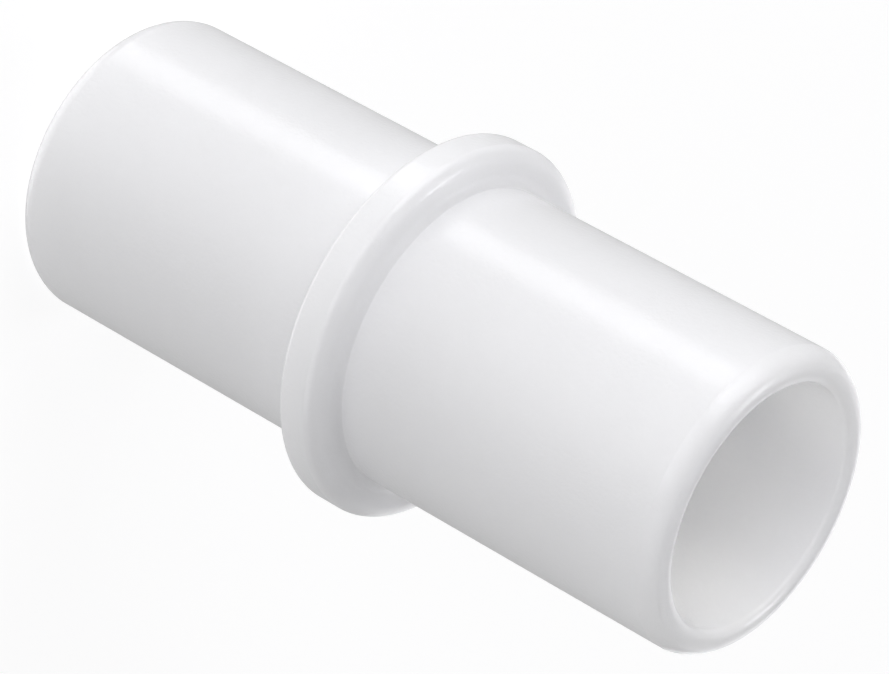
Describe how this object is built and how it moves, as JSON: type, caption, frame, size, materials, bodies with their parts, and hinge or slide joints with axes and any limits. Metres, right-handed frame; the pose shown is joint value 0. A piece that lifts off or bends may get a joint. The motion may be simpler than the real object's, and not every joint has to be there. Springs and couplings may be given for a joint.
{
  "type": "hose connector",
  "caption": "Straight tube connector moulded in one piece: a plain round-lipped spigot on each side of a stop collar, open right through, for joining hose ends.",
  "frame": {"origin": "centre of the lower spigot's end face, which the connector stands on", "axes": "+Z along the bore axis, from the lower spigot's end to the upper one's; X and Y are alike, because the part is round"},
  "size_m": [0.0274, 0.0274, 0.0576],
  "materials": {
    "white_plastic": "satin white moulded plastic"
  },
  "bodies": {
    "root": {"connector_body": "white_plastic"}
  },
  "joints": []
}
